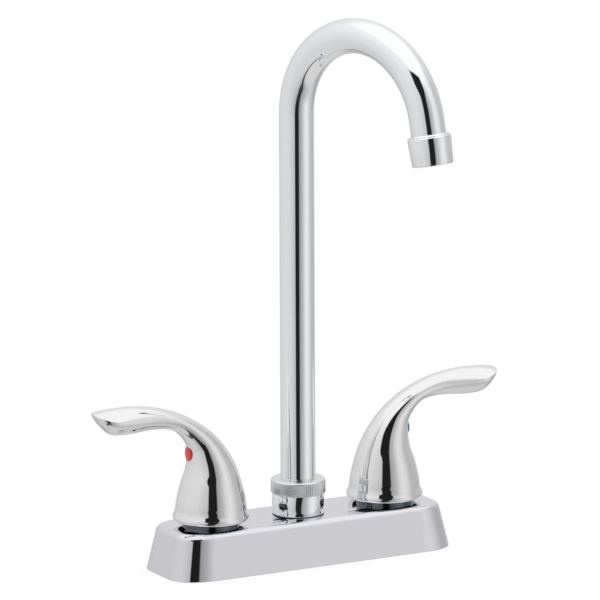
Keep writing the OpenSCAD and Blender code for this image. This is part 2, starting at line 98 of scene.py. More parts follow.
def turned_brass():
    # Brass left as it came off the lathe: warm yellow with fine rings that stretch the
    # highlights round the piece.
    ring_pitch = 0.35
    material, tree, place = start_material("turned_brass")
    height = add_node(tree, "ShaderNodeSeparateXYZ", {}, {"Vector": place}).outputs["Z"]
    along = add_node(tree, "ShaderNodeCombineXYZ", {}, {"Z": height}).outputs["Vector"]
    rings = add_node(tree, "ShaderNodeTexNoise", {}, {"Vector": along, "Scale": 1 / (ring_pitch * MM)})
    tone = add_node(tree, "ShaderNodeTexNoise", {}, {"Vector": place, "Scale": 120.0, "Detail": 3.0})
    colour = add_node(tree, "ShaderNodeMix", {"data_type": "RGBA"}, {
        "Factor": tone.outputs["Fac"], "A": linear("#C9A253"), "B": linear("#DDBC70")})
    rough = add_node(tree, "ShaderNodeMapRange", {}, {
        "Value": rings.outputs["Fac"], "To Min": 0.2, "To Max": 0.36})
    bump = add_node(tree, "ShaderNodeBump", {}, {
        "Strength": 0.25, "Distance": 0.02 * MM, "Height": rings.outputs["Fac"]})
    close_material(tree, Base_Color=colour.outputs["Result"], Metallic=1.0,
                   Roughness=rough.outputs["Result"], Normal=bump.outputs["Normal"])
    return material


def arc(centre, radius, start, end, steps=8):
    """Points along an arc in a profile; the angles are in degrees from the first axis."""
    turns = [radians(start + (end - start) * i / steps) for i in range(steps + 1)]
    radius_x, radius_z = radius if isinstance(radius, tuple) else (radius, radius)
    return [(centre[0] + radius_x * cos(t), centre[1] + radius_z * sin(t)) for t in turns]


def lathe(bm, profile, steps=96, turns=1, climb=0.0):
    """Spins a profile of (radius, height) points round the Z axis, climbing if it is a screw."""
    verts = [bm.verts.new((radius, 0, height)) for radius, height in profile]
    edges = [bm.edges.new(pair) for pair in zip(verts, verts[1:])]
    bmesh.ops.spin(bm, geom=verts + edges, cent=(0, 0, 0), axis=(0, 0, 1), angle=tau * turns,
                   dvec=(0, 0, climb / steps), steps=steps * turns, use_merge=climb == 0)


def new_piece(bm, name, body, replaced, material, sharp=35):
    """Turns a mesh drawn in millimetres into a finished piece that rides on its body."""
    bmesh.ops.remove_doubles(bm, verts=bm.verts, dist=0.0005)
    bmesh.ops.dissolve_degenerate(bm, edges=bm.edges, dist=0.0005)
    bmesh.ops.recalc_face_normals(bm, faces=bm.faces)
    bmesh.ops.scale(bm, verts=bm.verts, vec=(MM, MM, MM))
    mesh = bpy.data.meshes.new(name)
    bm.to_mesh(mesh)
    bm.free()
    mesh.shade_smooth()
    mesh.set_sharp_from_angle(angle=radians(sharp))
    mesh.materials.append(material)
    piece = bpy.data.objects.new(name, mesh)
    bpy.context.scene.collection.objects.link(piece)
    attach(piece, body)
    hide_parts(*replaced)
    return piece


def threaded_shank(bm, low, high):
    """The straight pipe thread on a half-inch shank, cut off level at both ends."""
    crest, root, pitch = 10.475, 9.35, 1.814
    # Radius, and share of the pitch, along one groove and the crest above it
    groove = ((root, 0.0), (root, 0.14), (crest, 0.44), (crest, 0.7), (root, 1.0))
    lathe(bm, [(radius, low + (share - 1) * pitch) for radius, share in groove], 48,
          int((high - low) / pitch) + 3, pitch)
    bmesh.ops.remove_doubles(bm, verts=bm.verts, dist=0.01)
    for height, outwards in ((low, -1), (high, 1)):
        bmesh.ops.bisect_plane(bm, geom=bm.verts[:] + bm.edges[:] + bm.faces[:], clear_outer=True,
                               plane_co=(0, 0, height), plane_no=(0, 0, outwards))


def valve_body(side):
    barrel, neck, seat_bore, inlet, foot_rim, edge = 12.0, 11.0, 9.0, 6.0, 9.3, 0.4
    foot, lead_in, shoulder, seat, roof, top = -50.0, 0.8, 2.5, 7.0, 20.9, 25.0
    bm = bmesh.new()
    threaded_shank(bm, foot + lead_in, shoulder)
    lathe(bm, [(foot_rim, foot), (inlet, foot), (inlet, seat), (seat_bore, seat), (seat_bore, top),
               (neck - edge, top), (neck, top - edge), (neck, roof), (barrel - edge, roof),
               (barrel, roof - edge), (barrel, shoulder + edge), (barrel - edge, shoulder)])
    open_edges = [e for e in bm.edges if e.is_boundary]
    for at_foot in (True, False):
        bmesh.ops.bridge_loops(bm, edges=[e for e in open_edges if (e.verts[0].co.z < 0) == at_foot])
    bmesh.ops.translate(bm, vec=(VALVE_X[side], 0, 0), verts=bm.verts)
    new_piece(bm, f"{side}_threaded_valve_body", "base", [f"{side}_valve_body"], brass)


brass = turned_brass()
for side in VALVE_X:
    valve_body(side)
dress(["spout_post"], brass)

# ------------------------------------------------------------------ cross tubes
# Two short copper tubes, soldered between the valve bodies and the spout's post, that
# carry hot and cold water to the spout.


def drawn_copper():
    # Copper drawn through a die and heated for soldering: salmon metal with darker bloom.
    material, tree, place = start_material("drawn_copper")
    bloom = add_node(tree, "ShaderNodeTexNoise", {}, {"Vector": place, "Scale": 160.0, "Detail": 5.0})
    colour = add_node(tree, "ShaderNodeMix", {"data_type": "RGBA"}, {
        "Factor": bloom.outputs["Fac"], "A": linear("#A8603F"), "B": linear("#D08A63")})
    rough = add_node(tree, "ShaderNodeMapRange", {}, {
        "Value": bloom.outputs["Fac"], "To Min": 0.25, "To Max": 0.45})
    close_material(tree, Base_Color=colour.outputs["Result"], Metallic=1.0,
                   Roughness=rough.outputs["Result"])
    return material


dress(["hot_cross_tube", "cold_cross_tube"], drawn_copper())

# ------------------------------------------------------------------ valve internals
# Quarter-turn cartridges: brass sleeve and stem, two lapped ceramic discs, and rubber
# seat seals and O-rings. They drop into the valve bodies from above.


def moulded_rubber():
    # Nitrile rubber from a mould: near black, dull, with a faint powdery bloom.
    material, tree, place = start_material("moulded_rubber")
    bloom = add_node(tree, "ShaderNodeTexNoise", {}, {"Vector": place, "Scale": 400.0, "Detail": 4.0})
    colour = add_node(tree, "ShaderNodeMix", {"data_type": "RGBA"}, {
        "Factor": bloom.outputs["Fac"], "A": linear("#17181A"), "B": linear("#2A2B2D")})
    rough = add_node(tree, "ShaderNodeMapRange", {}, {
        "Value": bloom.outputs["Fac"], "To Min": 0.55, "To Max": 0.8})
    bump = add_node(tree, "ShaderNodeBump", {}, {
        "Strength": 0.2, "Distance": 0.03 * MM, "Height": bloom.outputs["Fac"]})
    close_material(tree, Base_Color=colour.outputs["Result"], Roughness=rough.outputs["Result"],
                   Normal=bump.outputs["Normal"])
    return material


def lapped_ceramic():
    # Alumina ground flat and lapped: warm white with a satin, slightly grainy face.
    material, tree, place = start_material("lapped_ceramic")
    grain = add_node(tree, "ShaderNodeTexNoise", {}, {"Vector": place, "Scale": 2500.0, "Detail": 2.0})
    colour = add_node(tree, "ShaderNodeMix", {"data_type": "RGBA"}, {
        "Factor": grain.outputs["Fac"], "A": linear("#E6E2D8"), "B": linear("#F3F0E8")})
    rough = add_node(tree, "ShaderNodeMapRange", {}, {
        "Value": grain.outputs["Fac"], "To Min": 0.12, "To Max": 0.25})
    close_material(tree, Base_Color=colour.outputs["Result"], Roughness=rough.outputs["Result"],
                   IOR=1.76)
    return material


rubber = moulded_rubber()
ceramic = lapped_ceramic()
for side in VALVE_X:
    dress([f"{side}_cartridge", f"{side}_stem"], brass)
    dress([f"{side}_fixed_disc", f"{side}_moving_disc"], ceramic)
    dress([f"{side}_seat_seal", f"{side}_cartridge_ring", f"{side}_stem_rings"], rubber)

# ------------------------------------------------------------------ base cover
# One die-cast zinc shell, buffed and chrome plated, that drops over all three bodies.
# Its sides lean in, its plan corners are round and its top edge is eased.

BASE_HEIGHT = 23.3
# The sides stand upright this far up, so that the wall's inner edge ends level on the deck
FOOT_LAND = 0.4


def chrome_plate(name, dark, light, haze_mm, swell_mm, swell_depth, roughness=(0.025, 0.06)):
    # Nickel and chrome over polished metal: a hard, cool mirror. The haze is the last of
    # the buffing marks; the swell is how far the polished metal is from truly flat.
    material, tree, place = start_material(name)
    haze = add_node(tree, "ShaderNodeTexNoise", {}, {
        "Vector": place, "Scale": 1 / (haze_mm * MM), "Detail": 4.0})
    rough = add_node(tree, "ShaderNodeMapRange", {}, {
        "Value": haze.outputs["Fac"], "To Min": roughness[0], "To Max": roughness[1]})
    swell = add_node(tree, "ShaderNodeTexNoise", {}, {
        "Vector": place, "Scale": 1 / (swell_mm * MM), "Detail": 1.0})
    bump = add_node(tree, "ShaderNodeBump", {}, {
        "Strength": 1.0, "Distance": swell_depth * MM, "Height": swell.outputs["Fac"]})
    tone = add_node(tree, "ShaderNodeMix", {"data_type": "RGBA"}, {
        "Factor": haze.outputs["Fac"], "A": linear(dark), "B": linear(light)})
    close_material(tree, Base_Color=tone.outputs["Result"], Metallic=1.0,
                   Roughness=rough.outputs["Result"], Normal=bump.outputs["Normal"])
    return material


def flatten_shading(piece):
    """Keeps large flat faces truly flat in reflections, next to small rounded edges."""
    weighted = piece.modifiers.new("flat_faces", "WEIGHTED_NORMAL")
    weighted.keep_sharp = True
    weighted.weight = 100


def bridge_all(bm, rings):
    """Joins a stack of rings, each a set of edges, and returns the faces of each band."""
    return [bmesh.ops.bridge_loops(bm, edges=list(lower | upper))["faces"]
            for lower, upper in zip(rings, rings[1:])]


def cover_ring(bm, height, inset):
    """One level outline of the cover: straight sides joined by eased corners."""
    foot_length, foot_depth, end_lean, side_lean = 81.0, 25.0, 5.2, 4.2
    corner_across, corner_down, corner_lean = 21.0, 16.0, 3.5
    fullness, segments = 2.4, 120
    share = max(height - FOOT_LAND, 0) / (BASE_HEIGHT - FOOT_LAND)
    half_length = foot_length - end_lean * share - inset
    half_depth = foot_depth - side_lean * share - inset
    across = corner_across - corner_lean * share - inset
    down = corner_down - corner_lean * share - inset
    ring = bmesh.ops.create_circle(bm, segments=segments, radius=1,
                                   matrix=Matrix.Rotation(pi / segments, 4, "Z"))["verts"]
    for vert in ring:
        eased = [copysign(abs(c) ** (2 / fullness), c) for c in vert.co.xy]
        vert.co = (copysign(half_length - across, eased[0]) + across * eased[0],
                   copysign(half_depth - down, eased[1]) + down * eased[1], height)
    return {e for v in ring for e in v.link_edges}


def base_cover():
    edge, wall, roof_hole = 3.0, 2.4, 11.3
    bm = bmesh.new()
    rounded = arc((-edge, BASE_HEIGHT - edge), edge, 0, 90, 10)
    rings = [cover_ring(bm, height, -out) for out, height in [(0, 0), (0, FOOT_LAND), *rounded]]
    bridge_all(bm, rings)
    for x in (VALVE_X["hot"], 0.0, VALVE_X["cold"]):
        bmesh.ops.create_circle(bm, segments=64, radius=roof_hole,
                                matrix=Matrix.Translation((x, 0, BASE_HEIGHT)))
    outline = [e for e in bm.edges if (e.is_boundary or e.is_wire)
               and all(v.co.z > BASE_HEIGHT - 0.01 for v in e.verts)]
    bmesh.ops.triangle_fill(bm, edges=outline, use_beauty=True, normal=(0, 0, 1))
    piece = new_piece(bm, "cast_base_cover", "base", ["base_cover"], cast_chrome)
    shell = piece.modifiers.new("cast_wall", "SOLIDIFY")
    shell.thickness = wall * MM
    shell.offset = -1
    flatten_shading(piece)


cast_chrome = chrome_plate("chrome_on_buffed_zinc", "#DFDFE5", "#E3E3E8", 6, 30, 0.01)
base_cover()

# ------------------------------------------------------------------ deck gasket
# A flat rubber plate, die cut to sit just inside the cover's foot and seal on the deck.


def deck_gasket():
    half_length, half_depth, corner, thickness, shank_hole = 77.2, 21.2, 17.0, 2.5, 10.8
    bm = bmesh.new()
    segments = 96
    outline = bmesh.ops.create_circle(bm, segments=segments, radius=corner,
                                      matrix=Matrix.Rotation(pi / segments, 4, "Z"))["verts"]
    for vert in outline:
        vert.co.x += copysign(half_length - corner, vert.co.x)
        vert.co.y += copysign(half_depth - corner, vert.co.y)
    for x in VALVE_X.values():
        bmesh.ops.create_circle(bm, segments=64, radius=shank_hole,
                                matrix=Matrix.Translation((x, 0, 0)))
    bmesh.ops.triangle_fill(bm, edges=bm.edges[:], use_beauty=True, normal=(0, 0, 1))
    upper = bmesh.ops.extrude_face_region(bm, geom=bm.faces[:])["geom"]
    bmesh.ops.translate(bm, vec=(0, 0, thickness),
                        verts=[g for g in upper if isinstance(g, bmesh.types.BMVert)])
    new_piece(bm, "die_cut_gasket", "base", ["deck_gasket"], rubber)


deck_gasket()

# ------------------------------------------------------------------ bonnets
# Turned brass domes, plated, screwed on each valve's neck. They hold down the cartridge
# and the cover. Their plate is drawn dark slate as painted shade from the handles above,
# so they show as slate crescents under the handles.


def bonnet(side):
    skirt, crown, stem_hole, neck = 14.5, 8.5, 4.3, 11.05
    skirt_height, height, neck_depth = 0.3, 7.0, 3.7
    dome = arc((crown, skirt_height), (skirt - crown, height - skirt_height), 0, 90, 20)
    bm = bmesh.new()
    lathe(bm, [(neck, neck_depth), (neck, 0), (skirt, 0), *dome,
               (stem_hole, height), (stem_hole, neck_depth), (neck, neck_depth)])
    bmesh.ops.translate(bm, vec=(VALVE_X[side], 0, BASE_HEIGHT), verts=bm.verts)
    new_piece(bm, f"{side}_dome_bonnet", "base", [f"{side}_bonnet"], bonnet_shade_plate)


# Painted shade: the bonnets' plate is drawn dark slate for the shade under the handles.
bonnet_shade_plate = chrome_plate("painted_dark_bonnet_plate", "#5A6169", "#666C74", 3, 25, 0.002,
                           roughness=(0.08, 0.16))
for side in VALVE_X:
    bonnet(side)

# ------------------------------------------------------------------ hub and knurled nut
# A smooth turned ring stands on the cover, and on it the nut that holds the spout down.
# The nut is knurled with fine straight ribs for the fingers and has a rounded shoulder.

HUB_HEIGHT = 11.0
HUB_TOP = BASE_HEIGHT + HUB_HEIGHT
NUT_HEIGHT = 7.4
NUT_TOP = HUB_TOP + NUT_HEIGHT


def painted_recess_shade():
    # Painted shade: metal deep in a groove or a hollow is drawn dark and matt, as the shade that falls
    # there.
    material, tree, place = start_material("painted_shade_in_a_recess")
    skin = add_node(tree, "ShaderNodeTexNoise", {}, {"Vector": place, "Scale": 350.0, "Detail": 4.0})
    colour = add_node(tree, "ShaderNodeMix", {"data_type": "RGBA"}, {
        "Factor": skin.outputs["Fac"], "A": linear("#3E3F42"), "B": linear("#57585B")})
    rough = add_node(tree, "ShaderNodeMapRange", {}, {
        "Value": skin.outputs["Fac"], "To Min": 0.4, "To Max": 0.6})
    close_material(tree, Base_Color=colour.outputs["Result"], Metallic=1.0,
                   Roughness=rough.outputs["Result"])
    return material


def spout_hub():
    outer, neck, edge = 13.5, 11.05, 0.3
    groove_depth, groove_top = 0.4, BASE_HEIGHT + 0.3
    bm = bmesh.new()
    lathe(bm, [(neck, BASE_HEIGHT), (outer - groove_depth, BASE_HEIGHT),
               (outer - groove_depth, groove_top),
               *arc((outer - edge, groove_top + edge), edge, -90, 0, 4),
               *arc((outer - edge, HUB_TOP - edge), edge, 0, 90, 4), (neck, HUB_TOP),
               (neck, BASE_HEIGHT)], 128)
    # The faces of the groove at the hub's foot take the painted shade: a dark seam line where the hub
    # meets the cover.
    for face in bm.faces:
        face.material_index = int(face.calc_center_median().z < groove_top + 0.001)
    piece = new_piece(bm, "smooth_hub_ring", "base", ["spout_hub"], turned_chrome)
    piece.data.materials.append(recess_painted_shade)


def ribbed_ring(bm, radius, depth, height, ribs=84, points=6):
    """A level ring round the nut, with a rounded rib every so many points."""
    ring = bmesh.ops.create_circle(bm, segments=ribs * points, radius=1)["verts"]
    for vert in ring:
        dip = depth * 0.5 * (1 - cos(ribs * atan2(vert.co.y, vert.co.x)))
        vert.co = (vert.co.x * (radius - dip), vert.co.y * (radius - dip), height)
    return {e for v in ring for e in v.link_edges}


def spout_nut():
    outer, rib_depth, shoulder, runout = 14.1, 0.25, 1.4, 0.3
    lip_hole, lip, neck, fading_levels = 9.05, 1.5, 11.05, 3
    rib_top = HUB_TOP + NUT_HEIGHT - shoulder
    rounded = arc((outer - shoulder, rib_top), shoulder, 0, 90, 8)
    levels = [(neck, HUB_TOP, 0), (outer - runout, HUB_TOP, 0), (outer, HUB_TOP + runout, rib_depth)]
    # The ribs fade out over the first levels of the rounded shoulder
    levels += [(r, z, rib_depth * max(1 - i / fading_levels, 0)) for i, (r, z) in enumerate(rounded)]
    levels += [(lip_hole, NUT_TOP, 0), (lip_hole, NUT_TOP - lip, 0), (neck, NUT_TOP - lip, 0),
               (neck, HUB_TOP, 0)]
    bm = bmesh.new()
    bridge_all(bm, [ribbed_ring(bm, r, depth, z) for r, z, depth in levels])
    new_piece(bm, "knurled_spout_nut", "base", ["spout_nut"], knurled_chrome, 50)


turned_chrome = chrome_plate("chrome_on_turned_brass", "#F4F5F7", "#FAFBFC", 3, 25, 0.002)
knurled_chrome = chrome_plate("chrome_on_knurled_brass", "#E4E5E7", "#EDEEEF", 3, 25, 0.002,
                              roughness=(0.24, 0.34))
recess_painted_shade = painted_recess_shade()
spout_hub()
spout_nut()

# ------------------------------------------------------------------ swivel ring
# A split ring moulded in acetal: it snaps over the spout's flange and lets it turn.


def moulded_acetal():
    # Acetal from a mould: milky, slightly waxy and soft in its highlights.
    material, tree, place = start_material("moulded_acetal")
    flow = add_node(tree, "ShaderNodeTexNoise", {}, {"Vector": place, "Scale": 300.0, "Detail": 2.0})
    colour = add_node(tree, "ShaderNodeMix", {"data_type": "RGBA"}, {
        "Factor": flow.outputs["Fac"], "A": linear("#E4E2DA"), "B": linear("#EFEEE8")})
    rough = add_node(tree, "ShaderNodeMapRange", {}, {
        "Value": flow.outputs["Fac"], "To Min": 0.3, "To Max": 0.45})
    close_material(tree, Base_Color=colour.outputs["Result"], Roughness=rough.outputs["Result"],
                   IOR=1.48)
    return material


acetal = moulded_acetal()
dress(["swivel_ring"], acetal)

# ------------------------------------------------------------------ spout
# A turned brass spigot with two O-rings is brazed into one brass tube, bent over a
# former, polished and plated. The tube runs on past its bend in a short straight tail.

TUBE_R = 9.0
BEND_START = 233.0
BEND_R = 45.2
BEND_ANGLE = 169.0
SPOUT_HEADING = 18.3 - 90


def gooseneck_tube():
    bore, foot, tail, bend_thinning = 8.0, 38.5, 13.0, 0.03
    heading = radians(SPOUT_HEADING)
    centre = (BEND_R * cos(heading), BEND_R * sin(heading), BEND_START)
    bend_axis = (-sin(heading), cos(heading), 0)
    down_tail = Matrix.Rotation(radians(BEND_ANGLE), 3, Vector(bend_axis)) @ Vector((0, 0, tail))
    bm = bmesh.new()
    for radius in (TUBE_R, bore):
        bmesh.ops.create_circle(bm, segments=72, radius=radius,
                                matrix=Matrix.Translation((0, 0, foot)))
    foot_edges = bm.edges[:]
    stem = bmesh.ops.extrude_edge_only(bm, edges=foot_edges)["geom"]
    rim = [g for g in stem if isinstance(g, bmesh.types.BMVert)]
    bmesh.ops.translate(bm, vec=(0, 0, BEND_START - foot), verts=rim)
    drawn_in = 1 - bend_thinning / TUBE_R
    bmesh.ops.scale(bm, vec=(drawn_in, drawn_in, 1), verts=rim)
    loop = rim + [g for g in stem if isinstance(g, bmesh.types.BMEdge)]
    bent = bmesh.ops.spin(bm, geom=loop, cent=centre, axis=bend_axis,
                          angle=radians(BEND_ANGLE), steps=96)["geom_last"]
    bent_edges = [g for g in bent if isinstance(g, bmesh.types.BMEdge)]
    end = bmesh.ops.extrude_edge_only(bm, edges=bent_edges)["geom"]
    bmesh.ops.translate(bm, vec=down_tail, verts=[g for g in end if isinstance(g, bmesh.types.BMVert)])
    bmesh.ops.bridge_loops(bm, edges=[g for g in end if isinstance(g, bmesh.types.BMEdge)])
    bmesh.ops.bridge_loops(bm, edges=foot_edges)
    new_piece(bm, "bent_spout_tube", "spout", ["gooseneck_tube"], drawn_chrome)


drawn_chrome = chrome_plate("chrome_on_drawn_brass", "#F4F5F7", "#FAFBFC", 8, 60, 0.004)
gooseneck_tube()
dress(["spout_spigot"], brass)
dress(["spout_rings"], rubber)

# ------------------------------------------------------------------ outlet
# A threaded ring brazed on the tube's end takes the aerator: a plated brass housing
# with a rubber washer and a plastic flow straightener inside.

TAIL_LENGTH = 8.6
AERATOR_LENGTH = 14.7
ALONG_TAIL = (Matrix.Rotation(radians(SPOUT_HEADING), 4, "Z")
              @ Matrix.Translation((BEND_R, 0, BEND_START))
              @ Matrix.Rotation(radians(BEND_ANGLE), 4, "Y")
              @ Matrix.Translation((-BEND_R, 0, 0)))
ADAPTER_END = TAIL_LENGTH + 9.4
INSERT_LEDGE = ADAPTER_END + 3.0
THREAD_R = TUBE_R + 1.2
MOUTH_R = 9.15


def outlet_adapter():
    top, chamfer, bore, tube_end = TAIL_LENGTH - 1.0, 0.8, 8.0, TAIL_LENGTH + 4.4
    bm = bmesh.new()
    lathe(bm, [(TUBE_R, top), (THREAD_R - chamfer, top), (THREAD_R, top + chamfer),
               (THREAD_R, ADAPTER_END), (bore, ADAPTER_END), (bore, tube_end),
               (TUBE_R, tube_end), (TUBE_R, top)])
    bmesh.ops.transform(bm, matrix=ALONG_TAIL, verts=bm.verts)
    new_piece(bm, "threaded_outlet_ring", "spout", ["outlet_adapter"],
              turned_chrome)


def aerator_housing():
    top, mouth, shoulder, edge, lip, screw_fit = 11.25, 10.6, 1.0, 0.5, 0.3, 0.05
    end = TAIL_LENGTH + AERATOR_LENGTH
    bm = bmesh.new()
    lathe(bm, [(THREAD_R + screw_fit, TAIL_LENGTH),
               *arc((top - shoulder, TAIL_LENGTH + shoulder), shoulder, -90, 0, 8),
               *arc((mouth - edge, end - edge), edge, 0, 90, 5),
               *arc((MOUTH_R + lip, end - lip), lip, 90, 180, 3), (MOUTH_R, INSERT_LEDGE),
               (THREAD_R + screw_fit, INSERT_LEDGE), (THREAD_R + screw_fit, TAIL_LENGTH)], 128)
    bmesh.ops.transform(bm, matrix=ALONG_TAIL, verts=bm.verts)
    new_piece(bm, "aerator_shell", "spout", ["aerator_housing"], turned_chrome)


outlet_adapter()
aerator_housing()
dress(["aerator_washer"], rubber)
dress(["aerator_insert"], acetal)

# ------------------------------------------------------------------ lever handles
# Zinc castings, buffed and chromed: a turned foot, a skirt that narrows upwards and a
# lever that grows out of it, with a crisp edge round its paddle end. Each handle sits
# on a stem's broach and is held by a grub screw under a coloured button.

RIM_Z = BASE_HEIGHT + 2.5
HEADING = {"hot": 174.5, "cold": -1.0}
# Along the lever: reach and height of the outer line, reach and height of the inner
# line, half width, share of the depth outside the widest line, and crispness of the edge.
LEVER_ROWS = (
    (-18.3, 7.0, 18.3, 7.0, 18.3, 0.50, 0.0),
    (-17.9, 11.0, 17.8, 11.0, 17.8, 0.50, 0.0),
    (-15.7, 20.0, 15.7, 19.5, 15.7, 0.50, 0.0),
    (-12.8, 28.5, 13.5, 26.0, 13.2, 0.50, 0.0),
    (-7.9, 37.3, 12.6, 32.5, 10.7, 0.50, 0.0),
    (0.5, 46.9, 13.2, 40.2, 8.3, 0.50, 0.0),
    (13.6, 55.6, 20.6, 48.6, 7.0, 0.46, 0.0),
    (28.4, 61.1, 32.6, 50.3, 7.0, 0.42, 0.0),
    (43.3, 63.3, 45.0, 49.3, 8.2, 0.42, 0.5),
    (55.6, 63.1, 55.2, 49.9, 9.2, 0.37, 1.0),
    (61.4, 62.4, 61.0, 54.7, 7.7, 0.33, 1.0),
    (64.2, 61.7, 63.7, 58.6, 4.2, 0.30, 1.0),
    (64.9, 61.2, 64.8, 60.6, 1.0, 0.30, 1.0),
)


def between(a, b, c, d, t):
    """Catmull-Rom curve between rows b and c."""
    return [q + 0.5 * t * (r - p + t * (2 * p - 5 * q + 4 * r - s + t * (3 * (q - r) + s - p)))
            for p, q, r, s in zip(a, b, c, d)]


def smooth_rows(rows, steps):
    last = len(rows) - 1
    for i in range(last):
        for step in range(steps):
            yield between(rows[max(i - 1, 0)], rows[i], rows[i + 1], rows[min(i + 2, last)],
                          step / steps)
    yield rows[last]


def lever_ring(bm, row):
    """One section across the handle, as a ring of edges."""
    outer, inner = Vector((row[0], 0, row[1])), Vector((row[2], 0, row[3]))
    half_width, share, crisp = row[4:]
    ring = bmesh.ops.create_circle(bm, segments=80, radius=1)["verts"]
    for vert in ring:
        across, along = vert.co.x, vert.co.y
        if along > 0:
            along += crisp * (along * along - along)
            fall = share * (1 - along)
        else:
            fall = share - (1 - share) * along
        vert.co = outer.lerp(inner, fall) + Vector((0, half_width * across, 0))
    return {e for v in ring for e in v.link_edges}


def foot_profile():
    """Radius and height round the handle's foot: rim, rounded bulge and hollow flare."""
    rim, foot, bulge_height, flare_bend = 17.9, 19.8, 2.15, 1.7
    neck, neck_height = LEVER_ROWS[0][2:4]
    bulge = arc((rim, bulge_height), (foot - rim, bulge_height), -90, 25, 12)
    start, low = bulge[-1]
    flare = [(neck + (start - neck) * (1 - t) ** flare_bend, low + (neck_height - low) * t)
             for t in (0.2, 0.4, 0.6, 0.8)]
    return bulge + flare


def handle(side):
    # Radius and height down the hollow that clears the stem and the bonnet
    hollow = [(5, 27), (9.5, 27), (12.6, 24), (15.0, 17), (16.5, 8), (16.9, 0)]
    rows = [(-r, z, r, z, r, 0.5, 0.0) for r, z in hollow + foot_profile()]
    rows += list(smooth_rows(LEVER_ROWS, 7))
    bm = bmesh.new()
    rings = [lever_ring(bm, row) for row in rows]
    bands = bridge_all(bm, rings)
    ceiling = bmesh.ops.holes_fill(bm, edges=list(rings[0]), sides=0)["faces"]
    bmesh.ops.holes_fill(bm, edges=list(rings[-1]), sides=0)
    # The hollow's ceiling and walls take the painted shade, drawn dark for the shaded inside of the
    # handle.
    for face in (f for band in [ceiling, *bands[:len(hollow) - 1]] for f in band):
        face.material_index = 1
    place = Matrix.Translation((VALVE_X[side], 0, RIM_Z)) @ Matrix.Rotation(
        radians(HEADING[side]), 4, "Z")
    bmesh.ops.transform(bm, matrix=place, verts=bm.verts)
    piece = new_piece(bm, f"{side}_lever_handle", f"{side}_lever", [f"{side}_handle"],
                      handle_chrome, 30)
    piece.data.materials.append(recess_painted_shade)


handle_chrome = chrome_plate("chrome_on_polished_zinc", "#E9E9EA", "#F0F0F1", 5, 25, 0.008)
for side in VALVE_X:
    handle(side)

# ------------------------------------------------------------------ screws and buttons
# A blackened steel grub screw locks each handle on its stem, and a moulded button, red
# for hot and blue for cold, is pressed in over it.

BUTTON_Z = RIM_Z + 35.6


def machined_steel():
    # Alloy steel turned and blackened: dark grey with a dull metallic sheen.
    material, tree, place = start_material("machined_steel")
    grain = add_node(tree, "ShaderNodeTexNoise", {}, {"Vector": place, "Scale": 1200.0, "Detail": 2.0})
    rough = add_node(tree, "ShaderNodeMapRange", {}, {
        "Value": grain.outputs["Fac"], "To Min": 0.3, "To Max": 0.5})
    colour = add_node(tree, "ShaderNodeMix", {"data_type": "RGBA"}, {
        "Factor": grain.outputs["Fac"], "A": linear("#5B5D60"), "B": linear("#77797C")})
    close_material(tree, Base_Color=colour.outputs["Result"], Metallic=1.0,
                   Roughness=rough.outputs["Result"])
    return material


def moulded_abs(name, dark, light):
    # Glossy ABS from a polished mould, coloured through.
    material, tree, place = start_material(name)
    flow = add_node(tree, "ShaderNodeTexNoise", {}, {"Vector": place, "Scale": 500.0, "Detail": 2.0})
    colour = add_node(tree, "ShaderNodeMix", {"data_type": "RGBA"}, {
        "Factor": flow.outputs["Fac"], "A": linear(dark), "B": linear(light)})
    rough = add_node(tree, "ShaderNodeMapRange", {}, {
        "Value": flow.outputs["Fac"], "To Min": 0.15, "To Max": 0.25})
    close_material(tree, Base_Color=colour.outputs["Result"], Roughness=rough.outputs["Result"],
                   IOR=1.54)
    return material


def index_button(side, material):
    radius, seat, proud, dome = 3.9, 10.9, 13.1, 0.5
    bm = bmesh.new()
    lathe(bm, [(0, seat), (radius, seat), *arc((0, proud - dome), (radius, dome), 0, 90, 8)], 48)
    place = (Matrix.Translation((VALVE_X[side], 0, BUTTON_Z))
             @ Matrix.Rotation(radians(HEADING[side]), 4, "Z") @ Matrix.Rotation(pi / 2, 4, "Y"))
    bmesh.ops.transform(bm, matrix=place, verts=bm.verts)
    new_piece(bm, f"{side}_index_button", f"{side}_lever", [f"{side}_index"], material)


dress(["hot_set_screw", "cold_set_screw"], machined_steel())
index_button("hot", moulded_abs("red_moulded_abs", "#DE2A20", "#E8382A"))
index_button("cold", moulded_abs("blue_moulded_abs", "#2E62B8", "#3B74CC"))

# ------------------------------------------------------------------ under the deck
# Rubber washers and hexagon brass lock nuts, run up each shank to grip the deck. The
# corners of the nuts are turned down on both faces.

GRIP_DEPTH = 22.0
WASHER_THICKNESS = 3.0


def washer(side):
    outer, hole, edge = 18.0, 10.8, 0.5
    low, high = -GRIP_DEPTH - WASHER_THICKNESS, -GRIP_DEPTH
    bm = bmesh.new()
    lathe(bm, [(hole, low), *arc((outer - edge, low + edge), edge, -90, 0, 4),
               *arc((outer - edge, high - edge), edge, 0, 90, 4), (hole, high), (hole, low)])
    bmesh.ops.translate(bm, vec=(VALVE_X[side], 0, 0), verts=bm.verts)
    new_piece(bm, f"{side}_rubber_washer", "base", [f"{side}_washer"], rubber)


def hexagon_ring(bm, height, flat, limit):
    """A level ring round a nut: a hexagon, cut round where the limit is smaller."""
    ring = bmesh.ops.create_circle(bm, segments=144, radius=1)["verts"]
    for vert in ring:
        from_flat = atan2(vert.co.y, vert.co.x) % (pi / 3) - pi / 6
        reach = min(flat / cos(from_flat), limit)
        vert.co = (vert.co.x * reach, vert.co.y * reach, height)
    return {e for v in ring for e in v.link_edges}


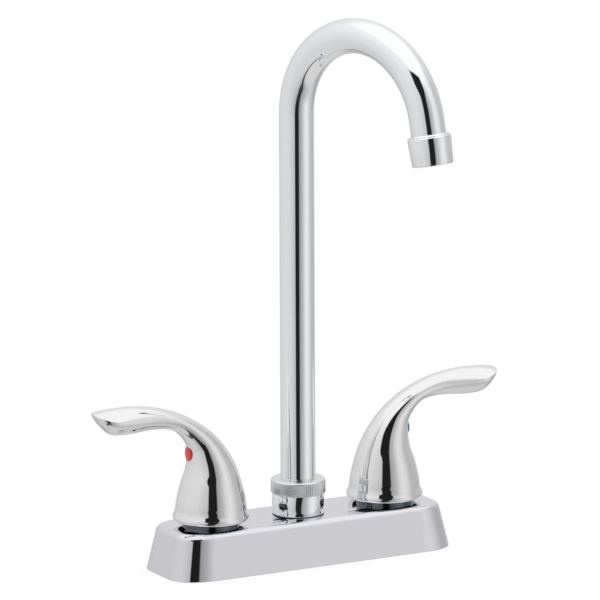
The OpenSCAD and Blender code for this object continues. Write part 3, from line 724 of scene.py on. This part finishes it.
def lock_nut(side):
    corner, bevel, height, hole, lead_in, bevel_steps = 17.5, 1.2, 8.0, 9.9, 0.6, 6
    flat = corner * cos(pi / 6)
    foot = -GRIP_DEPTH - WASHER_THICKNESS - height
    lower = [(hole, lead_in), (hole + lead_in, 0)]
    lower += [(flat + (corner - flat) * i / bevel_steps, bevel * i / bevel_steps)
              for i in range(bevel_steps + 1)]
    upper = [(limit, height - z) for limit, z in reversed(lower)]
    bm = bmesh.new()
    bridge_all(bm, [hexagon_ring(bm, foot + z, flat, limit)
                    for limit, z in [*lower, *upper, lower[0]]])
    bmesh.ops.translate(bm, vec=(VALVE_X[side], 0, 0), verts=bm.verts)
    new_piece(bm, f"{side}_hexagon_lock_nut", "base", [f"{side}_mounting_nut"], brass, 25)


for side in VALVE_X:
    washer(side)
    lock_nut(side)

# ------------------------------------------------------------------ camera
# A long lens on a stand, a little above the faucet and to the left of its front.

CAMERA_AZIMUTH = radians(-28.5)
CAMERA_ELEVATION = radians(14.25)
CAMERA_ROLL = radians(0.25)
CAMERA_DISTANCE = 4.5
PIXELS_PER_MM = 1.94
FRAME_PIXELS = 600
ORIGIN_PIXEL = (298.4, 556.0)

back = Vector((sin(CAMERA_AZIMUTH) * cos(CAMERA_ELEVATION),
               -cos(CAMERA_AZIMUTH) * cos(CAMERA_ELEVATION), sin(CAMERA_ELEVATION)))
level_right = Vector((cos(CAMERA_AZIMUTH), sin(CAMERA_AZIMUTH), 0))
level_up = back.cross(level_right)
frame_right = level_right * cos(CAMERA_ROLL) - level_up * sin(CAMERA_ROLL)
frame_up = level_right * sin(CAMERA_ROLL) + level_up * cos(CAMERA_ROLL)
aim = ((FRAME_PIXELS / 2 - ORIGIN_PIXEL[0]) * frame_right
       + (ORIGIN_PIXEL[1] - FRAME_PIXELS / 2) * frame_up) * (MM / PIXELS_PER_MM)
stand = back * CAMERA_DISTANCE
facing = (stand - aim).normalized()
camera_right = frame_up.cross(facing).normalized()
camera_up = facing.cross(camera_right)

camera = bpy.data.objects.new("camera", bpy.data.cameras.new("camera"))
camera.matrix_world = Matrix((
    (camera_right.x, camera_up.x, facing.x, stand.x),
    (camera_right.y, camera_up.y, facing.y, stand.y),
    (camera_right.z, camera_up.z, facing.z, stand.z),
    (0, 0, 0, 1)))
camera.data.sensor_width = 36
frame_width = FRAME_PIXELS / PIXELS_PER_MM * MM
camera.data.lens = camera.data.sensor_width * CAMERA_DISTANCE / frame_width
camera.data.clip_end = 100
bpy.context.scene.collection.objects.link(camera)
bpy.context.scene.camera = camera

# ------------------------------------------------------------------ deck and studio
# A plain white deck, and a pale tent of light round the faucet. The tent has one slot,
# where the camera looks in, which draws the dark line down every polished piece.


def deck():
    """The white deck at the cover's foot, shaded a little where the faucet touches it."""
    radius, below_gasket, shade_reach = 30.0, 0.05 * MM, 20 * MM
    material, tree, _ = start_material("white_deck")
    light_path = add_node(tree, "ShaderNodeLightPath")
    contact = add_node(tree, "ShaderNodeAmbientOcclusion", {"samples": 16}, {
        "Distance": shade_reach})
    shade = add_node(tree, "ShaderNodeMix", {"data_type": "RGBA"}, {
        "Factor": contact.outputs["AO"], "A": linear("#F6F7F8"), "B": linear("#FFFFFF")})
    white = add_node(tree, "ShaderNodeEmission", {}, {"Color": shade.outputs["Result"]})
    paint = add_node(tree, "ShaderNodeBsdfDiffuse", {}, {"Color": linear("#F2F2F2")})
    surface = add_node(tree, "ShaderNodeMixShader", {}, {"Fac": light_path.outputs["Is Camera Ray"]})
    tree.links.new(paint.outputs["BSDF"], surface.inputs[1])
    tree.links.new(white.outputs["Emission"], surface.inputs[2])
    add_node(tree, "ShaderNodeOutputMaterial", {}, {"Surface": surface.outputs["Shader"]})
    bm = bmesh.new()
    bmesh.ops.create_circle(bm, cap_ends=True, segments=64, radius=radius,
                            matrix=Matrix.Translation((0, 0, -below_gasket)))
    mesh = bpy.data.meshes.new("deck")
    bm.to_mesh(mesh)
    bm.free()
    mesh.materials.append(material)
    floor = bpy.data.objects.new("deck", mesh)
    floor.visible_glossy = False
    bpy.context.scene.collection.objects.link(floor)


def studio():
    """White to the camera. Metal sees the tent: walls by heading, a bright roof, the slot."""
    world = bpy.data.worlds.new("studio")
    world.use_nodes = True
    tree = world.node_tree
    tree.nodes.clear()
    bpy.context.scene.world = world
    direction = add_node(tree, "ShaderNodeTexCoord").outputs["Generated"]
    turned = add_node(tree, "ShaderNodeMapping", {"vector_type": "POINT"}, {
        "Vector": direction, "Rotation": (0, 0, -CAMERA_AZIMUTH)}).outputs["Vector"]
    axes = add_node(tree, "ShaderNodeSeparateXYZ", {}, {"Vector": turned}).outputs

    def calculate(operation, *values):
        inputs = {i: value for i, value in enumerate(values)}
        return add_node(tree, "ShaderNodeMath", {"operation": operation}, inputs).outputs[0]

    def ramp(value, low, high, stops):
        """Grey levels by angle: stops are (degrees, sRGB level)."""
        share = add_node(tree, "ShaderNodeMapRange", {}, {
            "Value": value, "From Min": low, "From Max": high}).outputs["Result"]
        node = add_node(tree, "ShaderNodeValToRGB", {}, {"Fac": share})
        elements = node.color_ramp.elements
        for i, (angle, level) in enumerate(stops):
            place = (angle - low) / (high - low)
            element = elements[i] if i < 2 else elements.new(place)
            element.position = place
            element.color = linear("#" + f"{level:02X}" * 3)
        return node.outputs["Color"]

    def soft_step(value, start, end):
        return add_node(tree, "ShaderNodeMapRange", {"interpolation_type": "SMOOTHSTEP"}, {
            "Value": value, "From Min": start, "From Max": end}).outputs["Result"]

    def mix(factor, first, second):
        return add_node(tree, "ShaderNodeMix", {"data_type": "RGBA"}, {
            "Factor": factor, "A": first, "B": second}).outputs["Result"]

    # Heading from the camera, positive to its right, and height, both in degrees
    heading = calculate("DEGREES", calculate(
        "ARCTAN2", axes["X"], calculate("MULTIPLY", axes["Y"], -1.0)))
    height = calculate("DEGREES", calculate("ARCSINE", axes["Z"]))
    upper_walls = ramp(heading, -180, 180, (
        (-180, 206), (-150, 192), (-130, 204), (-80, 211), (-45, 206), (-24, 186), (12, 134),
        (24, 164), (38, 186), (52, 220), (66, 233), (80, 222), (96, 196), (110, 186), (126, 171),
        (138, 166), (152, 198), (180, 206)))
    lower_walls = ramp(heading, -180, 180, (
        (-180, 200), (-150, 176), (-130, 200), (-80, 211), (-45, 208), (-24, 186), (12, 134),
        (24, 164), (38, 178), (52, 190), (70, 198), (90, 203), (100, 197), (122, 174), (138, 160),
        (152, 188), (180, 202)))
    walls = mix(soft_step(height, -22.0, -42.0), upper_walls, lower_walls)
    # How far each level is from the walls' own grey to white, on the left and on the right
    left_rise = ramp(height, -90, 90, (
        (-90, 0), (-20, 0), (-10, 110), (0, 132), (20, 168), (30, 191), (42, 208), (48, 240),
        (55, 255)))
    right_rise = ramp(height, -90, 90, ((-90, 0), (24, 0), (36, 150), (44, 215), (50, 248), (55, 255)))
    on_right = calculate("MULTIPLY", soft_step(heading, -5.0, 15.0), soft_step(heading, 128.0, 104.0))
    rise = mix(on_right, left_rise, right_rise)
    floor = soft_step(height, -46.0, -59.0)
    tent = mix(rise, mix(floor, walls, linear("#D2D2D0")), linear("#FFFFFF"))
    # The slot's left edge steps in near the horizon and leans left high up; its right edge
    # widens twice as it rises, and once at a cross bar. Its foot trails off to the left.
    slot_left, slot_right, edge_blur = -9.0, 11.0, 5.0
    step_in, left_lean, trail_slope = 3.5, -11.0, 2.8
    low_widening, high_widening, bar_widening, crown_slope = 8.0, 9.0, 3.0, 0.25
    lean = calculate("MULTIPLY_ADD", soft_step(height, 20.0, 28.0), left_lean, calculate(
        "MULTIPLY", soft_step(height, -12.0, 0.0), step_in))
    trail = calculate("MULTIPLY", calculate("MINIMUM", calculate("ADD", height, 45.0), 0.0),
                      trail_slope)
    widening = calculate("MULTIPLY_ADD", soft_step(height, 20.0, 38.0), high_widening, calculate(
        "MULTIPLY", soft_step(height, -16.0, 2.0), low_widening))
    cross_bar = calculate("MULTIPLY", soft_step(height, -38.0, -43.0), soft_step(height, -50.0, -46.0))
    left_edge = calculate("SUBTRACT", heading, calculate("ADD", lean, trail))
    right_edge = calculate("SUBTRACT", heading, calculate("ADD", widening, calculate(
        "MULTIPLY_ADD", cross_bar, bar_widening, trail)))
    inside = calculate("MULTIPLY", soft_step(left_edge, slot_left - edge_blur, slot_left),
                       soft_step(right_edge, slot_right + edge_blur, slot_right))
    crown = calculate("SUBTRACT", height, calculate("MULTIPLY", calculate(
        "MINIMUM", heading, 4.0), crown_slope))
    tall = calculate("MULTIPLY", soft_step(crown, 48.0, 45.5), soft_step(height, -88.0, -44.0))
    dark = mix(soft_step(height, -12.0, -45.0), linear("#20201F"), linear("#3C3C3A"))
    pattern = mix(calculate("MULTIPLY", inside, tall), tent, dark)
    light_path = add_node(tree, "ShaderNodeLightPath").outputs
    plain = calculate("MAXIMUM", light_path["Is Camera Ray"], light_path["Is Transmission Ray"])
    seen = mix(plain, pattern, linear("#FFFFFF"))
    brightness = 1.06
    light = add_node(tree, "ShaderNodeBackground", {}, {"Color": seen, "Strength": brightness})
    add_node(tree, "ShaderNodeOutputWorld", {}, {"Surface": light.outputs["Background"]})


deck()
studio()
bpy.context.scene.view_settings.view_transform = "Standard"
